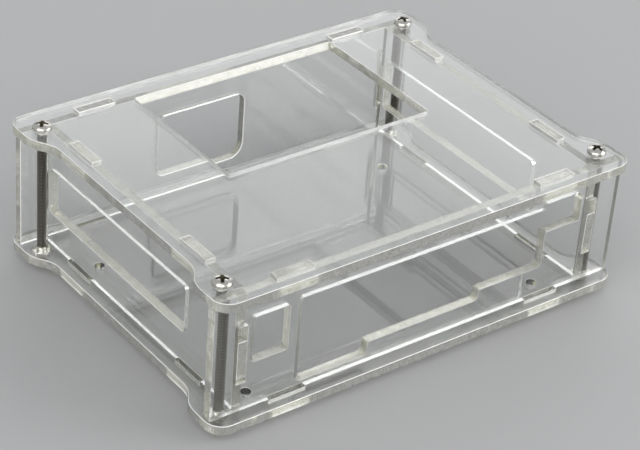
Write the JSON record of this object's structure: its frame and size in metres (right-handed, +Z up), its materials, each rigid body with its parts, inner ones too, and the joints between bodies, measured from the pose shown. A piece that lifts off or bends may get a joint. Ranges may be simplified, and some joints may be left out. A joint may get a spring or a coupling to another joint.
{
  "type": "single board computer case",
  "caption": "Clear laser-cut sheet case with tabbed walls, a large top opening, stepped front connector openings, side windows and long corner screws.",
  "frame": {"origin": "centre of the footprint, level with the tips of the four corner screws that the case stands on", "axes": "+X along the long side to the right, +Y to the back, +Z up; the stepped connector opening is in the front wall, at -Y"},
  "size_m": [0.148, 0.113, 0.049],
  "materials": {
    "clear_acrylic": "clear polished faces, frosted cut edges",
    "plated_steel": "nickel plated"
  },
  "bodies": {
    "root": {"bottom_plate": "clear_acrylic", "top_plate": "clear_acrylic", "front_wall": "clear_acrylic", "back_wall": "clear_acrylic", "left_wall": "clear_acrylic", "right_wall": "clear_acrylic", "corner_screws": "plated_steel", "corner_nuts": "plated_steel"}
  },
  "joints": []
}
